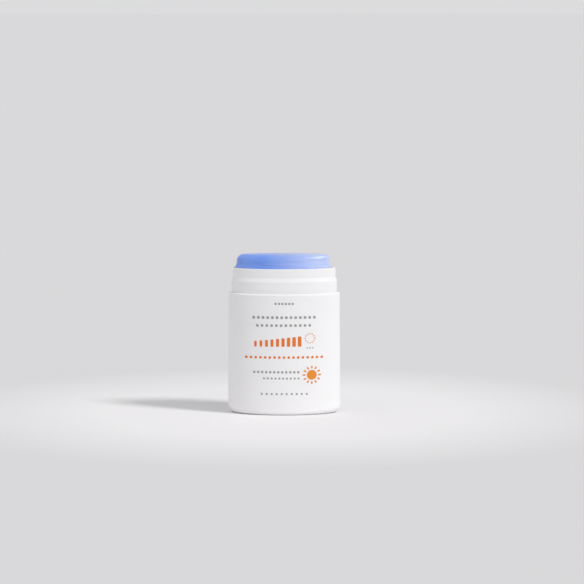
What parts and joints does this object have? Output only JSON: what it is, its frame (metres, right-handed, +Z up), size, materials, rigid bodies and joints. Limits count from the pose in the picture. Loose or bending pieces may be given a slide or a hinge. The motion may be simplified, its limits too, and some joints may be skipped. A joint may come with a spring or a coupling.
{
  "type": "sunscreen stick",
  "caption": "Small oval twist-up sunscreen stick with its cap off: white shell, stepped neck, domed blue balm above the rim, and a dial under the foot that raises it.",
  "frame": {"origin": "middle of the foot, on the surface that the stick stands on", "axes": "+Z up along the lead screw, +X across the wide face, -Y towards the printed front"},
  "size_m": [0.034, 0.0174, 0.0482],
  "materials": {
    "shell": "satin white, moulded",
    "barrel": "satin white, moulded",
    "base": "satin white, moulded",
    "dial": "satin white, moulded",
    "screw": "natural white, moulded",
    "platform": "natural white, moulded",
    "seal": "matt",
    "balm": "waxy, soft sheen",
    "print_grey": "grey printing ink",
    "print_orange": "orange printing ink"
  },
  "bodies": {
    "housing": {"outer_sleeve": "shell", "inner_barrel": "barrel", "base_plate": "base", "seal_ring": "seal"},
    "drive": {"dial": "dial", "lead_screw": "screw"},
    "carrier": {"platform": "platform", "balm": "balm"}
  },
  "joints": [
    {"name": "dial_turn", "type": "hinge", "parent": "housing", "child": "drive", "pos_m": [0, 0, 0], "axis": [0, 0, 1], "range_deg": [0, 2520]},
    {"name": "platform_lift", "type": "slide", "parent": "housing", "child": "carrier", "axis": [0, 0, 1], "range_m": [0, 0.028]}
  ],
  "couplings": [
    {"joint": "dial_turn", "follows": "platform_lift", "rad_per_m": 1570.8}
  ]
}
